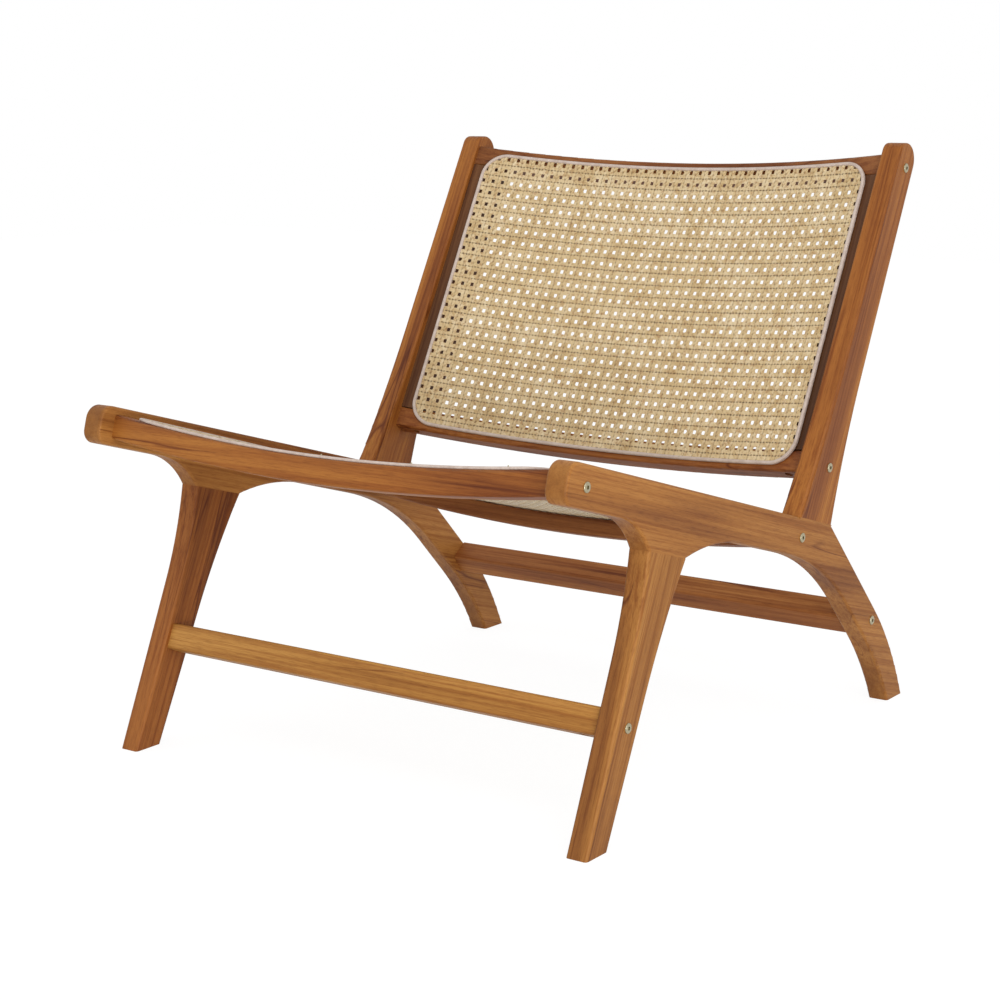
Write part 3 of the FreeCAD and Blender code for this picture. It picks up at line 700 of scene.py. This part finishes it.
def weave(name, sheet, phase, sink, material, node):
    """Weave a panel, a little below its surface if it has a sink. Phase is the place along the
    panel of one pair of strands across it."""
    columns = math.ceil(PANEL_HALF_WIDTH / CELL_ACROSS)
    rows_before = math.ceil((phase + sheet["half_length"]) / CELL_ALONG)
    rows_after = math.ceil((sheet["half_length"] - phase) / CELL_ALONG)
    rows = rows_before + rows_after + 1
    low = phase - rows_before * CELL_ALONG
    left = COLUMN_SHIFT - columns * CELL_ACROSS
    wide = 2 * columns + 1
    first_up, up_count = whole_pairs(
        left, CELL_ACROSS, wide, UP_SPACING + UP_WIDTH, PANEL_HALF_WIDTH
    )
    first_across, across_count = whole_pairs(
        low, CELL_ALONG, rows, ACROSS_SPACING + ACROSS_WIDTH, sheet["half_length"]
    )
    pieces = []
    for side in (-1, 1):
        shift = side * UP_SPACING / 2
        waves = paired_waves(CELL_ALONG, ACROSS_SPACING, -side)
        piece = layer(
            f"{name}_up_{side}",
            sheet,
            strand(CELL_ALONG, UP_WIDTH, waves, *edges(-side, UP_SHADE)),
            CELL_ALONG,
            0,
            (first_up + shift, low),
            rows,
            (CELL_ACROSS, 0),
            up_count,
        )
        vary(piece, lambda x, y: 2 * (x - shift - left) / CELL_ACROSS + side, (1, 0), low)
        pieces.append(piece)
    up = join(f"{name}_cane_up", pieces)
    pieces = []
    for side in (-1, 1):
        shift = side * ACROSS_SPACING / 2
        waves = paired_waves(CELL_ACROSS, UP_SPACING, side)
        piece = layer(
            f"{name}_across_{side}",
            sheet,
            strand(CELL_ACROSS, ACROSS_WIDTH, waves, *edges(side, ACROSS_SHADE)),
            CELL_ACROSS,
            -math.pi / 2,
            (left, first_across + shift),
            wide,
            (0, CELL_ALONG),
            across_count,
        )
        vary(
            piece,
            lambda x, y: 2 * (y - shift - low) / CELL_ALONG + side + FIRST_ACROSS_NUMBER,
            (0, 1),
            low,
        )
        pieces.append(piece)
    across = join(f"{name}_cane_across", pieces)
    pieces = []
    length = math.hypot(CELL_ACROSS, CELL_ALONG)
    lean = math.atan2(CELL_ACROSS, CELL_ALONG)
    for side in (-1, 1):
        begin = left - rows * CELL_ACROSS if side > 0 else left
        piece = layer(
            f"{name}_slant_{side}",
            sheet,
            strand(length, SLANT_WIDTH, slanted_waves(length, side), SLANT_SHADE, SLANT_SHADE),
            length,
            -side * lean,
            (begin, low - CELL_ALONG / 2),
            rows + 1,
            (CELL_ACROSS, 0),
            wide + rows,
        )
        vary(
            piece,
            lambda x, y: (
                (y - low) / CELL_ALONG - side * (x - left) / CELL_ACROSS + FIRST_SLANT_NUMBER
            ),
            (1, 0),
            low,
        )
        pieces.append(piece)
    slanted = join(f"{name}_cane_slanted", pieces)
    for piece in (up, across, slanted):
        piece.location.z = -sink
        start()
        piece.select_set(True)
        bpy.context.view_layer.objects.active = piece
        settle()
        onto_panel(piece, sheet)
        dress(piece, material, node)


def border(name, sheet, sink, material, node):
    """Rounded strip all round a panel, bent to the round surface."""
    start()
    bpy.ops.mesh.primitive_plane_add(size=1, location=(0, 0, -BORDER_THICKNESS / 2))
    piece = bpy.context.object
    piece.name = name
    piece.scale = (2 * PANEL_HALF_WIDTH, 2 * sheet["half_length"], 1)
    settle()
    bpy.ops.object.mode_set(mode="EDIT")
    bpy.ops.mesh.select_all(action="SELECT")
    bpy.ops.mesh.bevel(
        offset=PANEL_CORNER, segments=BORDER_CORNER_STEPS, affect="VERTICES", profile=0.5
    )
    pick(piece, lambda face: True, "FACE")
    bpy.ops.mesh.inset(thickness=BORDER_WIDTH)
    bpy.ops.mesh.delete(type="FACE")
    for cut in range(1, BORDER_CUTS):
        across = PANEL_HALF_WIDTH * (2 * cut / BORDER_CUTS - 1)
        slice_at((across, 0, 0), (1, 0, 0))
    bpy.ops.mesh.select_all(action="SELECT")
    rise = BORDER_THICKNESS - 2 * sink
    bpy.ops.mesh.extrude_region_move(TRANSFORM_OT_translate={"value": (0, 0, rise)})
    bpy.ops.mesh.select_all(action="SELECT")
    bpy.ops.mesh.normals_make_consistent(inside=False)
    bpy.ops.object.mode_set(mode="OBJECT")
    rounding = piece.modifiers.new("rounding", "BEVEL")
    rounding.width = BORDER_ROUNDING
    rounding.segments = BORDER_ROUNDING_STEPS
    rounding.limit_method = "ANGLE"
    rounding.angle_limit = SMOOTH_ANGLE
    bpy.ops.object.modifier_apply(modifier=rounding.name)
    bpy.ops.object.shade_smooth_by_angle(angle=SMOOTH_ANGLE)
    onto_panel(piece, sheet)
    dress(piece, material, node)


cane = cane_skin()
reed = border_reed()
TOP_PAIR = TOP_PAIR_PLACE - (BACK_FIRST + BACK_LAST) / 2
weave("back", BACK, TOP_PAIR, 0.0, cane, "back_cane")
weave("seat", SEAT, 0.0, SEAT_SINK, cane, "seat_cane")
border("back_border_strip", BACK, 0.0, reed, "back_border")
border("seat_border_strip", SEAT, SEAT_SINK, reed, "seat_border")

# Wood of the frame: the grain follows each plank, and every plank has its own figure.
ALONG_RAIL = (SEAT_SLOPE, 0, 0)
ALONG_LEG = (LEG_LEAN - math.pi / 2, 0, 0)
ALONG_POST = (BACK_LEAN - math.pi / 2, 0, 0)
ALONG_CROSS = (0, 0, math.pi / 2)
PALE_BOARD = ("#BF8B46", "#AE7938", "#94612A")
ROSY_BOARD = ("#B57A41", "#A56935", "#8C5328")
BROWN_BOARD = ("#B1793C", "#A16A31", "#875324")
TAN_BOARD = ("#AB7539", "#9B662F", "#825023")
WARM_BOARD = ("#B07331", "#9E6128", "#82491D")
RED_BOARD = ("#A96C33", "#975B29", "#7C451E")
DEEP_BOARD = ("#9E612B", "#8D5322", "#743F19")
# a board darkened as painted shade, for the top back rail and the rear seat rail, which sit in
# shade
PAINTED_SHADE_BOARD = ("#935D31", "#834F27", "#6B3D1C")
# a board darkened as painted shade, for the back stiles in shade behind the back panel
SHADED_BOARD = ("#6B4527", "#5A381E", "#472A15")
PLANKS = {
    "side_rail_left": (ALONG_RAIL, BROWN_BOARD),
    "side_rail_right": (ALONG_RAIL, BROWN_BOARD),
    "front_leg_left": (ALONG_LEG, DEEP_BOARD),
    "front_leg_right": (ALONG_LEG, TAN_BOARD),
    "back_post_left": (ALONG_POST, WARM_BOARD),
    "back_post_right": (ALONG_POST, WARM_BOARD),
    "front_seat_rail": (ALONG_CROSS, WARM_BOARD),
    "rear_seat_rail": (ALONG_CROSS, PAINTED_SHADE_BOARD),
    "lower_back_rail": (ALONG_CROSS, RED_BOARD),
    "top_back_rail": (ALONG_CROSS, PAINTED_SHADE_BOARD),
    "back_stile_left": (ALONG_POST, SHADED_BOARD),
    "back_stile_right": (ALONG_POST, SHADED_BOARD),
    "front_stretcher": (ALONG_CROSS, PALE_BOARD),
    "rear_stretcher": (ALONG_CROSS, ROSY_BOARD),
}
# how far the figure of the wood moves on from one plank to the next, in metres
FIGURE_STEP = np.array((0.37, 0.83, 0.29))

steel = plated_steel()
# dowels of pale, fine-grained beech, which show only where a joint is open
dowel = oiled_wood("planed_beech", ALONG_CROSS, (0, 0, 0), "#DDBE92", "#CFAB7C", "#B98F60")
for order, (name, (turn, tones)) in enumerate(PLANKS.items()):
    paint(nodes[name], oiled_wood(f"oiled_{name}", turn, FIGURE_STEP * order, *tones))
for names, material in (
    (("connector_bolts", "barrel_nuts", "seat_border_pins", "back_border_pins"), steel),
    (("rail_dowels", "leg_dowels", "post_dowels"), dowel),
):
    for name in names:
        paint(nodes[name], material)


# Studio: a pale floor, soft light and the camera of the photograph.
def seen_directly(tree):
    """One where the camera, a reflection or a refraction looks, zero where light is gathered."""
    path = add(tree, "ShaderNodeLightPath")
    either = add(
        tree,
        "ShaderNodeMath",
        {0: path.outputs["Is Camera Ray"], 1: path.outputs["Is Glossy Ray"]},
        operation="MAXIMUM",
    )
    return add(
        tree,
        "ShaderNodeMath",
        {0: either.outputs[0], 1: path.outputs["Is Transmission Ray"]},
        operation="MAXIMUM",
    ).outputs[0]


AMBIENT = 0.76
FLOOR_SIZE = 14.0
FLOOR_GLOW = 0.9
WHITE = linear("#FFFFFF")
studio = bpy.data.worlds.new("studio")
studio.use_nodes = True
studio.node_tree.nodes.clear()
shown = add(
    studio.node_tree,
    "ShaderNodeMapRange",
    {"Value": seen_directly(studio.node_tree), "To Min": AMBIENT, "To Max": 1.0},
)
sky = add(
    studio.node_tree,
    "ShaderNodeBackground",
    {"Color": WHITE, "Strength": shown.outputs[0]},
)
add(studio.node_tree, "ShaderNodeOutputWorld", {"Surface": sky.outputs[0]})
bpy.context.scene.world = studio

start()
bpy.ops.mesh.primitive_plane_add(size=FLOOR_SIZE)
floor = bpy.context.object
floor.name = "floor"
# white paper: matte, almost lost against the background, with the chair's soft shadow on it
white_floor, tree = new_material("white_paper_floor")
looked_at = seen_directly(tree)
paper_tone = add(
    tree, "ShaderNodeValToRGB", {"Fac": looked_at}, ramp=[(0.0, "#E4E4E4"), (1.0, "#707070")]
)
paper = add(tree, "ShaderNodeBsdfDiffuse", {"Color": paper_tone.outputs[0]})
glow_level = add(
    tree, "ShaderNodeMapRange", {"Value": looked_at, "To Min": 0.0, "To Max": FLOOR_GLOW}
)
glow = add(
    tree, "ShaderNodeEmission", {"Color": WHITE, "Strength": glow_level.outputs[0]}
)
lit = add(tree, "ShaderNodeAddShader", {0: paper.outputs[0], 1: glow.outputs[0]})
add(tree, "ShaderNodeOutputMaterial", {"Surface": lit.outputs[0]})
paint(floor, white_floor)


def soft_lamp(name, place, aim, width, height, power):
    """A flat lamp that faces a point of the chair."""
    start()
    bpy.ops.object.light_add(type="AREA", location=place)
    lamp = bpy.context.object
    lamp.name = name
    lamp.data.shape = "RECTANGLE"
    lamp.data.size = width
    lamp.data.size_y = height
    lamp.data.energy = power
    away = lamp.location - type(lamp.location)(aim)
    lamp.rotation_euler = away.to_track_quat("Z", "Y").to_euler()


soft_lamp("key_lamp", (2.2, -1.9, 2.2), (0, 0, 0.4), 2.0, 2.0, 26.0)
soft_lamp("fill_lamp", (-2.2, -2.2, 2.0), (0, 0, 0.4), 2.0, 2.0, 6.0)
soft_lamp("low_lamp", (2.1, -2.05, 0.3), (0, 0.1, 0.3), 2.0, 0.5, 27.0)

CAMERA_PLACE = (1.42967, -2.06701, 0.77152)
CAMERA_TURN = (math.radians(90 - 11.032), 0, math.radians(35.208))
CAMERA_LENS = 76.0025
CAMERA_SENSOR = 36.0
start()
bpy.ops.object.camera_add(location=CAMERA_PLACE, rotation=CAMERA_TURN)
camera = bpy.context.object
camera.data.lens = CAMERA_LENS
camera.data.sensor_width = CAMERA_SENSOR
bpy.context.scene.camera = camera
bpy.context.scene.view_settings.view_transform = "Standard"
